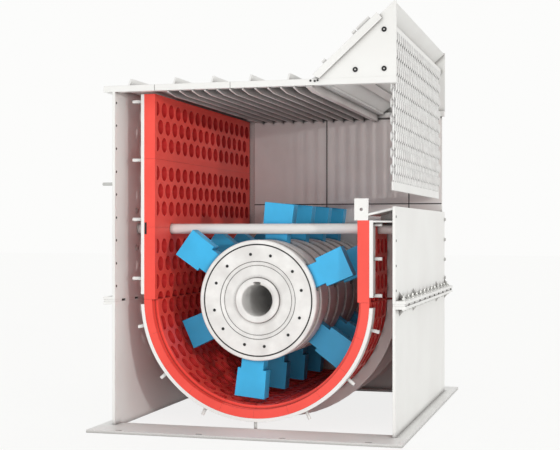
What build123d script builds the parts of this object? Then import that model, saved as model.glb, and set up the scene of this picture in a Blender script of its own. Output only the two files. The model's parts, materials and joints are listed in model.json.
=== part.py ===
from build123d import *
import os
from math import asin, cos, degrees, radians, sin, tan

os.makedirs("parts", exist_ok=True)

# Box crusher, cut open at the front: housing, liners, chain curtain and hammer rotor.
# X is across the machine, Y runs from the open front to the rear, Z is up from the floor.
# The origin is the middle of the base frame, on the floor. All sizes are in millimetres.

# Base frame
base_side_reach = 88
base_end_margin = 78
base_opening_inset = 105
base_thickness = 20
slot_length = 50
slot_width = 22
slot_edge_distance = 38
outer_slot_spacing = 1766
inner_slot_spacing = 590

# Housing
housing_width = 2050
housing_length = 2470
wall = 20
housing_top = 2404
feed_side_top = 1573
split_bottom = 900
split_gap = 16
flange_reach = 70
flange_thickness = 20
packer_length = 64
packer_width = 50
packer_end_distance = 165
packers_per_side = 10
rear_packers_per_side = 4
rear_flange_gap = 620
flange_corner_gap = 5
flange_gusset_depths = (158, 740, 1935, 2455)
flange_gusset_reach = 45
flange_gusset_height = 56
flange_gusset_thickness = 12

# Rotor axis, and the shaft that carries the rotor from behind
axis_height = 915
bore_radius = 112
bore_end_depth = 900
rear_bore_radius = 118
relief_radius = 124
shaft_play = 0.1
shaft_opening_radius = 140
shaft_front_depth = 1500

# Liners
liner_radius = 742
liner_thickness = 83
liner_front = 110
left_liner_top_gap = 9
right_liner_drop = 93
liner_seams = (1436, 1929)
seam_gap = 0.6
hole_radius = 53
hole_sides = 6
hole_pitch = 147
hole_row_pitch = 128
hole_margin = 60
half_hole_depth = 149
shifted_row_start = 223
upper_row_rises = (136, 108)
grate_segments = 10
grate_rebate_radius = 765
grate_rebate_depth = 60

# Front hoop with its studs, and the ribs and brackets behind it
hoop_thickness = 25
hoop_width = 90
hoop_split_gap = 36
stud_radius = 12.5
stud_sides = 8
left_stud_length = 80
left_stud_heights = (1064, 1492, 1922, 2347)
right_stud_length = 56
right_stud_heights = (963, 1216, 1452)
lower_stud_length = 60
lower_studs = 7
rib_thickness = 16
rib_height = 84
rib_depths = (800, 1500, 2200)
rib_ear_height = 70
curved_seat_gap = 0.3
rib_sides = 60

# Cross pipe
pipe_radius = 37.5
pipe_to_disc_gap = 41.5
pipe_depth = 450
pipe_hole_gap = 1.5

# Feed side sill
shelf_drop = 95
shelf_thickness = 12
sill_thickness = 16
sill_drop = 61
sill_rise = 44
lug_inset = 8
lug_width = 97
lug_height = 151
lug_thickness = 20
lug_hole_radius = 11
gusset_depths = (400, 1235, 2070)

# Rear wall panels
panel_thickness = 20
panel_left_edge = -693
panel_seams = (-18, 719)
panel_bottom = 950
panel_seam_height = 1646
panel_top_gap = 14
panel_gap = 4
panel_shaft_clearance = 205

# Roof
roof_left_overhang = 67
roof_right_overhang = 4
roof_bar_height = 44
roof_bar_width = 60
roof_bar_seams = (-701, -138)
roof_bar_seam_gap = 3
roof_plate_thickness = 20
roof_to_hood_gap = 7
roof_rib_places = (-897, -559, -276, 2, 279)
roof_rib_thickness = 12
roof_rib_height = 50
roof_rib_slope = 40
roof_strip_pitch = 88
roof_strip_width = 56
roof_strip_height = 40
roof_strip_offset = -700
roof_strip_count = 13
roof_beam_width = 47
roof_beam_height = 68

# Hood over the feed side
hood_slope = 42
hood_base_width = 576
hood_right_overhang = 5
hood_apex_width = 13
cover_start = 20
cover_length = 600
cover_inset = 32
cover_proud = 20
cover_overhang = 20
cover_rib_width = 29
cover_rib_height = 27
cover_rib_places = (122, 403)
cover_bar_start = 443
cover_bar_width = 117
hood_top_thickness = 14
hood_strip_width = 60
hood_strip_height = 20
hood_strip_places = (150, 310, 470)

# Chain curtain
curtain_inset = 40
curtain_rail_rise = 366
curtain_rail_height = 44
curtain_rail_width = 24
curtain_bar_rise = 112
curtain_bar_height = 60
curtain_bar_thickness = 12
curtain_bar_margin = 110
chain_width = 34
chain_thickness = 10
chain_count = 28
chain_end_distance = 160

# Rotor
rotor_front = 200
end_disc_thickness = 35
disc_radius = 430
hammer_rows = 8
row_pitch = 283
hammer_slot = 125
hammer_thickness = 115
rear_disc_thickness = 59
hub_radius = 250
hub_nose_radius = 160
hub_nose_reach = 6
spacer_radius = 415
drum_sides = 48
seat_sides = 24
keyway_width = 50
keyway_depth = 20
face_recess_radius = 265
face_recess_depth = 6

# Hammers and their pins
pin_orbit_radius = 340
pin_radius = 40
pin_hole_sides = 8
first_pin_angle = 24
pin_count = 6
hammer_tip_radius = 700
hammer_neck_width = 165
hammer_head_width = 212
hammer_tip_width = 222
hammer_shoulder_radius = 497
hammer_play = 0.5
hammer_swing = 12
swing_clearance = 8

# Rear bearing and its stand
bearing_gap_to_wall = 15
bearing_width = 160
bearing_body_radius = 190
bearing_foot_width = 560
bearing_foot_height = 40
bearing_foot_drop = 200
stand_top_plate = 30
stand_leg_thickness = 25
stand_leg_spacing = 440
shaft_tail_radius = 95
shaft_tail = 70

# Derived places
base_width = housing_width + 2 * base_side_reach
base_end_reach = bearing_gap_to_wall + bearing_width + base_end_margin
base_length = housing_length + 2 * base_end_reach
half_length = housing_length / 2
half_width = housing_width / 2
inner_half_width = half_width - wall
split_top = split_bottom + split_gap
liner_back = liner_radius + liner_thickness
hoop_back = liner_back + hoop_thickness
rear_wall_front = half_length - wall
liner_rear = housing_length - wall
right_liner_rear = liner_rear - panel_thickness
pipe_height = axis_height + disc_radius + pipe_to_disc_gap + pipe_radius
roof_top = housing_top + roof_bar_height
left_liner_top = housing_top - left_liner_top_gap
right_liner_top = feed_side_top - right_liner_drop
shelf_top = feed_side_top - shelf_drop
sill_low_height = feed_side_top - sill_drop
hood_right_edge = half_width + hood_right_overhang
hood_foot = hood_right_edge - hood_base_width
roof_right_edge = hood_foot - roof_to_hood_gap
disc_thickness = row_pitch - hammer_slot


def at_depth(depth):
    """Y of a place this far behind the front edges of the side walls."""
    return depth - half_length


def slab(x_low, x_high, y_low, y_high, z_low, z_high):
    """A flat plate or straight bar between two corners."""
    with BuildPart() as piece:
        with BuildSketch(Plane.XY.offset(z_low)):
            with Locations(((x_low + x_high) / 2, (y_low + y_high) / 2)):
                Rectangle(x_high - x_low, y_high - y_low)
        extrude(amount=z_high - z_low)
    return piece.part


def cross_plate(outline, y_low, thickness):
    """A plate that stands across the machine, with an outline of X, Z points."""
    with BuildPart() as piece:
        with BuildSketch(Plane.XZ.offset(-y_low - thickness)):
            with BuildLine():
                Polyline(*outline, close=True)
            make_face()
        extrude(amount=thickness)
    return piece.part


# Base frame: a flat bar rectangle, open in the middle for the discharge
slot_row_spacing = base_length - 2 * slot_edge_distance
with BuildPart() as base_frame:
    with BuildSketch():
        Rectangle(base_width, base_length)
        Rectangle(2 * inner_half_width, housing_length - 2 * base_opening_inset, mode=Mode.SUBTRACT)
        for spacing in (outer_slot_spacing, inner_slot_spacing):
            with GridLocations(spacing, slot_row_spacing, 2, 2):
                SlotOverall(slot_length, slot_width, mode=Mode.SUBTRACT)
    extrude(amount=base_thickness)
base_frame.part.label = "base_frame"
export_step(base_frame.part, "parts/base_frame.step")


# Side walls: the feed side is lower, because the feed opening is above it
def side_wall(side, z_low, z_high):
    x_low = -half_width if side == "left" else inner_half_width
    return slab(x_low, x_low + wall, -half_length, half_length, z_low, z_high)


for side, top in (("left", housing_top), ("right", feed_side_top)):
    lower_wall = side_wall(side, base_thickness, split_bottom)
    lower_wall.label = f"lower_wall_{side}"
    export_step(lower_wall, f"parts/lower_wall_{side}.step")
    upper_wall = side_wall(side, split_top, top)
    upper_wall.label = f"upper_wall_{side}"
    export_step(upper_wall, f"parts/upper_wall_{side}.step")


# Rear wall, split like the side walls, with the shaft opening at the split
def rear_wall(z_low, z_high):
    with BuildPart() as piece:
        with BuildSketch(Plane.XZ.offset(-half_length)):
            with Locations((0, (z_low + z_high) / 2)):
                Rectangle(2 * inner_half_width, z_high - z_low)
            with Locations((0, axis_height)):
                Circle(shaft_opening_radius, mode=Mode.SUBTRACT)
        extrude(amount=wall)
    return piece.part


lower_rear_wall = rear_wall(base_thickness, split_bottom)
lower_rear_wall.label = "lower_rear_wall"
export_step(lower_rear_wall, "parts/lower_rear_wall.step")
upper_rear_wall = rear_wall(split_top, housing_top)
upper_rear_wall.label = "upper_rear_wall"
export_step(upper_rear_wall, "parts/upper_rear_wall.step")


# Split flanges outside the walls, below and above the gap, with small gussets welded in their
# corners, and the packers between them
upper_flange_top = split_top + flange_thickness
lower_flange_bottom = split_bottom - flange_thickness
flange_gussets = []
for depth in flange_gusset_depths:
    y_low = at_depth(depth) - flange_gusset_thickness / 2
    for side in (-1, 1):
        for height, rise in ((upper_flange_top, 1), (lower_flange_bottom, -1)):
            gusset_corners = (
                (side * half_width, height),
                (side * (half_width + flange_gusset_reach), height),
                (side * half_width, height + rise * flange_gusset_height),
            )
            flange_gussets.append(cross_plate(gusset_corners, y_low, flange_gusset_thickness))
rear_bar = half_width - flange_corner_gap - rear_flange_gap / 2
rear_bar_middle = (rear_flange_gap + rear_bar) / 2
with BuildPart() as split_flanges:
    with BuildSketch(Plane.XY.offset(split_bottom - flange_thickness), Plane.XY.offset(split_top)):
        for side in (-1, 1):
            with Locations((side * (half_width + flange_reach / 2), 0)):
                Rectangle(flange_reach, housing_length)
            with Locations((side * rear_bar_middle, half_length + flange_reach / 2)):
                Rectangle(rear_bar, flange_reach)
    extrude(amount=flange_thickness)
    add(flange_gussets)
split_flanges.part.label = "split_flanges"
export_step(split_flanges.part, "parts/split_flanges.step")

packer_pitch = (housing_length - 2 * packer_end_distance) / (packers_per_side - 1)
rear_packer_pitch = (rear_bar - 2 * packer_length) / (rear_packers_per_side - 1)
with BuildPart() as split_packers:
    with BuildSketch(Plane.XY.offset(split_bottom)):
        side_spacing = 2 * half_width + flange_reach
        with GridLocations(side_spacing, packer_pitch, 2, packers_per_side):
            Rectangle(packer_width, packer_length)
        for sign in (-1, 1):
            with Locations((sign * rear_bar_middle, half_length + flange_reach / 2)):
                with GridLocations(rear_packer_pitch, 0, rear_packers_per_side, 1):
                    Rectangle(packer_length, packer_width)
    extrude(amount=split_gap)
split_packers.part.label = "split_packers"
export_step(split_packers.part, "parts/split_packers.step")


# Flat liner plates with staggered rows of round holes, drawn with few sides
with BuildSketch() as hole:
    RegularPolygon(hole_radius, hole_sides)
with BuildSketch() as half_hole:
    add(hole.sketch)
    Rectangle(hole_radius, 2 * hole_radius, align=(Align.MIN, Align.CENTER), mode=Mode.INTERSECT)
whole_row_start = half_hole_depth + hole_pitch


def hole_depths(start, rear):
    """Depths of the whole holes of a row that ends before the rear of its plate."""
    count = int((rear - hole_margin - start) // hole_pitch) + 1
    return [start + step * hole_pitch for step in range(count)]


def liner_plate(x_low, rear, z_low, z_high, first_row, first_shifted):
    rows = int((z_high - hole_margin - first_row) // hole_row_pitch) + 1
    with BuildPart() as piece:
        with BuildSketch(Plane.YZ.offset(x_low)):
            with Locations((at_depth((liner_front + rear) / 2), (z_low + z_high) / 2)):
                Rectangle(rear - liner_front, z_high - z_low)
            for row in range(rows):
                height = first_row + row * hole_row_pitch
                is_shifted = (row % 2 == 0) == first_shifted
                row_start = shifted_row_start if is_shifted else whole_row_start
                with Locations(*[(at_depth(depth), height) for depth in hole_depths(row_start, rear)]):
                    add(hole.sketch, mode=Mode.SUBTRACT)
                if not is_shifted:
                    with Locations((at_depth(half_hole_depth), height)):
                        add(half_hole.sketch, mode=Mode.SUBTRACT)
            with Locations((at_depth(pipe_depth), pipe_height)):
                Circle(pipe_radius + pipe_hole_gap, mode=Mode.SUBTRACT)
        extrude(amount=liner_thickness)
    return piece.part


left_levels = (axis_height + seam_gap, *liner_seams, left_liner_top)
left_first_rows = (axis_height, *[seam + rise for seam, rise in zip(liner_seams, upper_row_rises)])
for level, name in enumerate(("liner_left_low", "liner_left_middle", "liner_left_top")):
    low, high = left_levels[level], left_levels[level + 1] - seam_gap
    plate = liner_plate(-liner_back, liner_rear, low, high, left_first_rows[level], level == 0)
    plate.label = name
    export_step(plate, f"parts/{name}.step")
right_low = axis_height + seam_gap
liner_right = liner_plate(liner_radius, right_liner_rear, right_low, right_liner_top, axis_height, True)
liner_right.label = "liner_right"
export_step(liner_right, "parts/liner_right.step")

# Round bottom grate: equal segments, each bent in two flat strips with a row of holes in each
segment_angle = 180 / grate_segments
segment_reach = segment_angle / 2 - degrees(asin(seam_gap / 2 / liner_radius))


def bent_strip(inner, outer):
    """Outline of a segment between two radii, as a closed line of X, Z points."""
    turns = [radians(turn) for turn in (-segment_reach, 0, segment_reach)]
    inside = [(inner * cos(turn), inner * sin(turn)) for turn in turns]
    outside = [(outer * cos(turn), outer * sin(turn)) for turn in reversed(turns)]
    return inside + outside


with BuildSketch() as clipped_hole:
    add(hole.sketch)
    with Locations((-hole_radius / 2, 0)):
        Rectangle(2 * hole_radius, 2 * hole_radius, align=(Align.MIN, Align.CENTER), mode=Mode.INTERSECT)
with BuildPart() as grate_segment:
    with BuildSketch(Plane.XZ.offset(-at_depth(liner_rear))):
        with BuildLine():
            Polyline(*bent_strip(liner_radius, liner_back), close=True)
        make_face()
    extrude(amount=liner_rear - liner_front)
    with BuildSketch(Plane.XZ.offset(-at_depth(liner_front + grate_rebate_depth))):
        with BuildLine():
            Polyline(*bent_strip(0.9 * liner_radius, grate_rebate_radius), close=True)
        make_face()
    extrude(amount=grate_rebate_depth, mode=Mode.SUBTRACT)
    whole_planes = []
    clipped_planes = []
    for start, turn in ((whole_row_start, -segment_angle / 4), (shifted_row_start, segment_angle / 4)):
        outward = (cos(radians(turn)), 0, sin(radians(turn)))
        for depth in hole_depths(start, liner_rear):
            hole_plane = Plane(origin=(0, at_depth(depth), 0), x_dir=(0, 1, 0), z_dir=outward)
            is_clipped = depth - hole_radius < liner_front + grate_rebate_depth + seam_gap
            (clipped_planes if is_clipped else whole_planes).append(hole_plane)
    with BuildSketch(*whole_planes):
        add(hole.sketch)
    with BuildSketch(*clipped_planes):
        add(clipped_hole.sketch)
    extrude(amount=2 * liner_back, mode=Mode.SUBTRACT)
segment_turns = [(index + 0.5) * segment_angle for index in range(grate_segments)]
with BuildPart() as bottom_grate:
    with Locations(*[Location((0, 0, axis_height), (0, turn, 0)) for turn in segment_turns]):
        add(grate_segment.part)
bottom_grate.part.label = "bottom_grate"
export_step(bottom_grate.part, "parts/bottom_grate.step")


# Front hoop: straight bars on the liner backs and a half ring below, with studs
def hoop_bar(side, z_low, z_high, stud_heights, stud_length):
    x_low = -hoop_back if side < 0 else liner_back
    y_low = at_depth(liner_front)
    bar = slab(x_low, x_low + hoop_thickness, y_low, y_low + hoop_width, z_low, z_high)
    with BuildPart() as piece:
        add(bar)
        for height in stud_heights:
            foot = Plane(origin=(side * hoop_back, y_low + hoop_width / 2, height), z_dir=(side, 0, 0))
            with BuildSketch(foot):
                RegularPolygon(stud_radius, stud_sides)
            extrude(amount=stud_length)
    return piece.part


hoop_bar_foot = axis_height + hoop_split_gap
left_hoop_bar = hoop_bar(-1, hoop_bar_foot, left_liner_top, left_stud_heights, left_stud_length)
right_hoop_bar = hoop_bar(1, hoop_bar_foot, right_liner_top, right_stud_heights, right_stud_length)
with BuildPart() as hoop_bars:
    add([left_hoop_bar, right_hoop_bar])
hoop_bars.part.label = "hoop_bars"
export_step(hoop_bars.part, "parts/hoop_bars.step")

hoop_floor = axis_height - hoop_split_gap
with BuildPart() as hoop_lower:
    with BuildSketch(Plane.XZ.offset(-at_depth(liner_front + hoop_width))):
        with Locations((0, axis_height)):
            Circle(hoop_back)
            Circle(liner_back + curved_seat_gap, mode=Mode.SUBTRACT)
        with Locations((0, hoop_floor)):
            Rectangle(4 * hoop_back, 2 * hoop_back, align=(Align.CENTER, Align.MAX), mode=Mode.INTERSECT)
    extrude(amount=hoop_width)
    for index in range(lower_studs):
        angle = radians(180 + (index + 0.5) * 180 / lower_studs)
        foot_radius = hoop_back - hoop_thickness / 2
        foot_point = (
            foot_radius * cos(angle),
            at_depth(liner_front + hoop_width / 2),
            axis_height + foot_radius * sin(angle),
        )
        with BuildSketch(Plane(origin=foot_point, z_dir=(cos(angle), 0, sin(angle)))):
            RegularPolygon(stud_radius, stud_sides)
        extrude(amount=lower_stud_length + hoop_thickness / 2)
hoop_lower.part.label = "hoop_lower"
export_step(hoop_lower.part, "parts/hoop_lower.step")

# Ribs bent in short flats that cradle the grate, with ears welded to the side walls
rib_inner = liner_back + curved_seat_gap
rib_outer = liner_back + rib_height
ear_place = (inner_half_width + rib_inner) / 2
ear_height = split_bottom - rib_ear_height / 2
with BuildPart() as cradle_ribs:
    for depth in rib_depths:
        with BuildSketch(Plane.XZ.offset(-at_depth(depth + rib_thickness / 2))):
            with Locations((0, axis_height)):
                RegularPolygon(rib_outer, rib_sides)
            with Locations((-ear_place, ear_height), (ear_place, ear_height)):
                Rectangle(inner_half_width - rib_inner, rib_ear_height)
            with Locations((0, axis_height)):
                RegularPolygon(rib_inner, rib_sides, major_radius=False, mode=Mode.SUBTRACT)
            with Locations((0, split_bottom)):
                below = (Align.CENTER, Align.MAX)
                Rectangle(4 * rib_outer, 2 * rib_outer, align=below, mode=Mode.INTERSECT)
        extrude(amount=rib_thickness)
cradle_ribs.part.label = "cradle_ribs"
export_step(cradle_ribs.part, "parts/cradle_ribs.step")


# Brackets that carry the upright liners from the side walls
shelf_bottom = shelf_top - shelf_thickness
brackets = []
for depth in rib_depths:
    y_low = at_depth(depth - rib_thickness / 2)
    y_high = y_low + rib_thickness
    brackets.append(slab(-inner_half_width, -liner_back, y_low, y_high, split_top, left_liner_top))
    brackets.append(slab(liner_back, inner_half_width, y_low, y_high, split_top, shelf_bottom))
with BuildPart() as liner_brackets:
    add(brackets)
liner_brackets.part.label = "liner_brackets"
export_step(liner_brackets.part, "parts/liner_brackets.step")

# Cross pipe from wall to wall
with BuildPart() as cross_pipe:
    with BuildSketch(Plane.YZ.offset(-inner_half_width)):
        with Locations((at_depth(pipe_depth), pipe_height)):
            Circle(pipe_radius)
    extrude(amount=2 * inner_half_width)
cross_pipe.part.label = "cross_pipe"
export_step(cross_pipe.part, "parts/cross_pipe.step")

# Shelf behind the right liner, sloping feed sill above it, and the plate with the lug hole
sill_front = at_depth(liner_front)
sill_rear = at_depth(right_liner_rear)
sill_shelf = slab(hoop_back, inner_half_width, sill_front, sill_rear, shelf_bottom, shelf_top)
sill_shelf.label = "sill_shelf"
export_step(sill_shelf, "parts/sill_shelf.step")

lug_right_edge = liner_back - lug_inset
with BuildPart() as lug_plate:
    with BuildSketch(Plane.XZ.offset(-at_depth(liner_front + lug_thickness))):
        with Locations((lug_right_edge - lug_width / 2, right_liner_top + lug_height / 2)):
            Rectangle(lug_width, lug_height)
            Circle(lug_hole_radius, mode=Mode.SUBTRACT)
    extrude(amount=lug_thickness)
lug_plate.part.label = "lug_plate"
export_step(lug_plate.part, "parts/lug_plate.step")

sill_low_x = lug_right_edge
sill_high_height = sill_low_height + sill_rise
sill_outline = (
    (sill_low_x, sill_low_height),
    (inner_half_width, sill_high_height),
    (inner_half_width, sill_high_height + sill_thickness),
    (sill_low_x, sill_low_height + sill_thickness),
)
feed_sill = cross_plate(sill_outline, sill_front, sill_rear - sill_front)
feed_sill.label = "feed_sill"
export_step(feed_sill, "parts/feed_sill.step")

gusset_low_x = hoop_back
sill_slope = sill_rise / (inner_half_width - sill_low_x)
gusset_low_height = sill_low_height + sill_slope * (gusset_low_x - sill_low_x)
gusset_outline = (
    (gusset_low_x, shelf_top),
    (inner_half_width, shelf_top),
    (inner_half_width, sill_high_height),
    (gusset_low_x, gusset_low_height),
)
gussets = [cross_plate(gusset_outline, at_depth(depth), rib_thickness) for depth in gusset_depths]
with BuildPart() as sill_gussets:
    add(gussets)
sill_gussets.part.label = "sill_gussets"
export_step(sill_gussets.part, "parts/sill_gussets.step")

# Wear panels on the rear wall, cut round the shaft
panel_edges = (panel_left_edge, *panel_seams, inner_half_width)
panel_levels = (panel_bottom, panel_seam_height, housing_top - panel_top_gap)
with BuildPart() as rear_panels:
    with BuildSketch(Plane.XZ.offset(-rear_wall_front)):
        for left, right in zip(panel_edges, panel_edges[1:]):
            for low, high in zip(panel_levels, panel_levels[1:]):
                with Locations(((left + right) / 2, (low + high) / 2)):
                    Rectangle(right - left - panel_gap, high - low - panel_gap)
        with Locations((0, axis_height)):
            Circle(panel_shaft_clearance, mode=Mode.SUBTRACT)
    extrude(amount=panel_thickness)
rear_panels.part.label = "rear_panels"
export_step(rear_panels.part, "parts/rear_panels.step")

# Roof: front and rear edge bars, the plate between them, ribs on top and wear strips below
roof_left = -half_width - roof_left_overhang
roof_right = half_width + roof_right_overhang
bar_edges = (roof_left, *roof_bar_seams, roof_right + roof_bar_seam_gap)
end_bars = []
for y_low in (-half_length, half_length - roof_bar_width):
    for left, right in zip(bar_edges, bar_edges[1:]):
        bar_right = right - roof_bar_seam_gap
        end_bars.append(slab(left, bar_right, y_low, y_low + roof_bar_width, housing_top, roof_top))
with BuildPart() as roof_end_bars:
    add(end_bars)
roof_end_bars.part.label = "roof_end_bars"
export_step(roof_end_bars.part, "parts/roof_end_bars.step")

roof_span = housing_length - 2 * roof_bar_width
plate_bottom = roof_top - roof_plate_thickness
roof_plate = slab(roof_left, roof_right_edge, -roof_span / 2, roof_span / 2, plate_bottom, roof_top)
roof_plate.label = "roof_plate"
export_step(roof_plate, "parts/roof_plate.step")
roof_left_bar = slab(roof_left, -inner_half_width, -roof_span / 2, roof_span / 2, housing_top, plate_bottom)
roof_left_bar.label = "roof_left_bar"
export_step(roof_left_bar, "parts/roof_left_bar.step")

with BuildPart() as roof_ribs:
    for x in roof_rib_places:
        with BuildSketch(Plane.YZ.offset(x - roof_rib_thickness / 2)):
            with BuildLine():
                Polyline(
                    (-half_length, roof_top),
                    (half_length, roof_top),
                    (half_length - roof_rib_slope, roof_top + roof_rib_height),
                    (-half_length + roof_rib_slope, roof_top + roof_rib_height),
                    close=True,
                )
            make_face()
        extrude(amount=roof_rib_thickness)
roof_ribs.part.label = "roof_ribs"
export_step(roof_ribs.part, "parts/roof_ribs.step")

with BuildPart() as roof_strips:
    for index in range(roof_strip_count):
        middle = roof_strip_offset + index * roof_strip_pitch
        with BuildSketch(Plane.XZ.offset(-roof_span / 2)):
            with Locations((middle, plate_bottom)):
                Trapezoid(
                    roof_strip_width,
                    roof_strip_height,
                    70,
                    rotation=180,
                    align=(Align.CENTER, Align.MIN),
                )
        extrude(amount=roof_span)
roof_strips.part.label = "roof_strips"
export_step(roof_strips.part, "parts/roof_strips.step")

roof_beam = slab(
    roof_right_edge - roof_beam_width,
    roof_right_edge,
    -roof_span / 2,
    roof_span / 2,
    plate_bottom - roof_beam_height,
    plate_bottom,
)
roof_beam.label = "roof_beam"
export_step(roof_beam, "parts/roof_beam.step")


# Hood: two end plates, a thick sloping cover set into them, and a thin plate up to the ridge
def hood_point(along, out):
    """X, Z of a place along the slope from its foot, and out from the slope line."""
    slope = radians(hood_slope)
    return (
        hood_foot + along * cos(slope) - out * sin(slope),
        roof_top + along * sin(slope) + out * cos(slope),
    )


cover_end = cover_start + cover_length
ridge_run = (hood_right_edge - hood_apex_width - hood_foot) / cos(radians(hood_slope))
ridge_x, ridge_height = hood_point(ridge_run, 0)
inset_foot = cover_inset / tan(radians(hood_slope))
hood_outline = (
    hood_point(inset_foot, -cover_inset),
    (hood_right_edge, roof_top),
    (hood_right_edge, ridge_height),
    (ridge_x, ridge_height),
    hood_point(cover_end, 0),
    hood_point(cover_end, -cover_inset),
)
end_plates = [cross_plate(hood_outline, y_low, wall) for y_low in (-half_length, rear_wall_front)]
with BuildPart() as hood_end_plates:
    add(end_plates)
hood_end_plates.part.label = "hood_end_plates"
export_step(hood_end_plates.part, "parts/hood_end_plates.step")

cover_outline = (
    hood_point(inset_foot, -cover_inset),
    hood_point(cover_end, -cover_inset),
    hood_point(cover_end, cover_proud),
    hood_point(cover_start, cover_proud),
    hood_point(cover_start, 0),
)
hood_cover = cross_plate(cover_outline, -half_length - cover_overhang, housing_length + 2 * cover_overhang)
hood_cover.label = "hood_cover"
export_step(hood_cover, "parts/hood_cover.step")

cover_bars = []
cover_bar_sizes = [(place, cover_rib_width) for place in cover_rib_places]
for along, width in (*cover_bar_sizes, (cover_bar_start, cover_bar_width)):
    rib_outline = (
        hood_point(along, cover_proud),
        hood_point(along + width, cover_proud),
        hood_point(along + width, cover_proud + cover_rib_height),
        hood_point(along, cover_proud + cover_rib_height),
    )
    cover_bars.append(cross_plate(rib_outline, -half_length, housing_length))
with BuildPart() as cover_ribs:
    add(cover_bars)
cover_ribs.part.label = "cover_ribs"
export_step(cover_ribs.part, "parts/cover_ribs.step")

hood_top_outline = (
    hood_point(cover_end, -hood_top_thickness),
    hood_point(ridge_run, -hood_top_thickness),
    hood_point(ridge_run, 0),
    hood_point(cover_end, 0),
)
hood_top = cross_plate(hood_top_outline, -rear_wall_front, 2 * rear_wall_front)
hood_top.label = "hood_top"
export_step(hood_top, "parts/hood_top.step")

wear_bars = []
for along in hood_strip_places:
    strip_outline = (
        hood_point(along, -cover_inset),
        hood_point(along + hood_strip_width, -cover_inset),
        hood_point(along + hood_strip_width, -cover_inset - hood_strip_height),
        hood_point(along, -cover_inset - hood_strip_height),
    )
    wear_bars.append(cross_plate(strip_outline, -rear_wall_front, 2 * rear_wall_front))
with BuildPart() as hood_strips:
    add(wear_bars)
hood_strips.part.label = "hood_strips"
export_step(hood_strips.part, "parts/hood_strips.step")

# Chain curtain across the feed opening: rail, chains drawn as bars, and the bottom bar
curtain_place = half_width - curtain_inset
curtain_rail_top = roof_top + curtain_rail_rise
curtain_rail = slab(
    curtain_place - curtain_rail_width / 2,
    curtain_place + curtain_rail_width / 2,
    -rear_wall_front,
    rear_wall_front,
    curtain_rail_top - curtain_rail_height,
    curtain_rail_top,
)
curtain_rail.label = "curtain_rail"
export_step(curtain_rail, "parts/curtain_rail.step")

curtain_bar_bottom = feed_side_top + curtain_bar_rise
curtain_bar_top = curtain_bar_bottom + curtain_bar_height
chain_top = curtain_rail_top - curtain_rail_height
chain_pitch = (housing_length - 2 * chain_end_distance) / (chain_count - 1)
with BuildPart() as curtain_chains:
    with BuildSketch(Plane.XY.offset(curtain_bar_top)):
        with Locations((curtain_place, 0)):
            with GridLocations(0, chain_pitch, 1, chain_count):
                Rectangle(chain_thickness, chain_width)
    extrude(amount=chain_top - curtain_bar_top)
curtain_chains.part.label = "curtain_chains"
export_step(curtain_chains.part, "parts/curtain_chains.step")

curtain_bar = slab(
    curtain_place - curtain_bar_thickness / 2,
    curtain_place + curtain_bar_thickness / 2,
    -half_length + curtain_bar_margin,
    half_length - curtain_bar_margin,
    curtain_bar_bottom,
    curtain_bar_top,
)
curtain_bar.label = "curtain_bar"
export_step(curtain_bar, "parts/curtain_bar.step")

# Rotor hub, bored through with a relieved middle and a wider rear seat, keyed at the top
first_slot = rotor_front + end_disc_thickness
last_slot_end = first_slot + (hammer_rows - 1) * row_pitch + hammer_slot
rotor_rear = last_slot_end + rear_disc_thickness


def ring_plane(depth):
    """A plane across the rotor axis at a depth, for sketches that are extruded to the front."""
    return Plane.XZ.offset(-at_depth(depth)).shift_origin((0, at_depth(depth), axis_height))


with BuildPart() as rotor_hub:
    with BuildSketch(ring_plane(rotor_rear + hub_nose_reach)):
        Circle(hub_nose_radius)
    extrude(amount=rotor_rear - rotor_front + 2 * hub_nose_reach)
    with BuildSketch(ring_plane(last_slot_end)):
        Circle(hub_radius)
    extrude(amount=last_slot_end - first_slot)
    with BuildSketch(ring_plane(rotor_rear + hub_nose_reach)):
        Circle(bore_radius)
        with Locations((0, bore_radius)):
            Rectangle(keyway_width, 2 * keyway_depth)
    extrude(amount=rotor_rear - rotor_front + 2 * hub_nose_reach, mode=Mode.SUBTRACT)
    with BuildSketch(ring_plane(rotor_rear + hub_nose_reach)):
        Circle(rear_bore_radius)
    extrude(amount=rotor_rear + hub_nose_reach - shaft_front_depth, mode=Mode.SUBTRACT)
    with BuildSketch(ring_plane(shaft_front_depth)):
        Circle(relief_radius)
    extrude(amount=shaft_front_depth - bore_end_depth, mode=Mode.SUBTRACT)
rotor_hub.part.label = "rotor_hub"
export_step(rotor_hub.part, "parts/rotor_hub.step")

# Front end disc with a shallow round recess, and the plain rear end disc
with BuildPart() as front_disc:
    with BuildSketch(ring_plane(first_slot)):
        Circle(disc_radius)
        Circle(hub_nose_radius + curved_seat_gap, mode=Mode.SUBTRACT)
    extrude(amount=end_disc_thickness)
    with BuildSketch(ring_plane(rotor_front + face_recess_depth)):
        Circle(face_recess_radius)
    extrude(amount=face_recess_depth, mode=Mode.SUBTRACT)
front_disc.part.label = "front_disc"
export_step(front_disc.part, "parts/front_disc.step")

with BuildPart() as rear_disc:
    with BuildSketch(ring_plane(rotor_rear)):
        Circle(disc_radius)
        Circle(hub_nose_radius + curved_seat_gap, mode=Mode.SUBTRACT)
    extrude(amount=rear_disc_thickness)
rear_disc.part.label = "rear_disc"
export_step(rear_disc.part, "parts/rear_disc.step")

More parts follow.
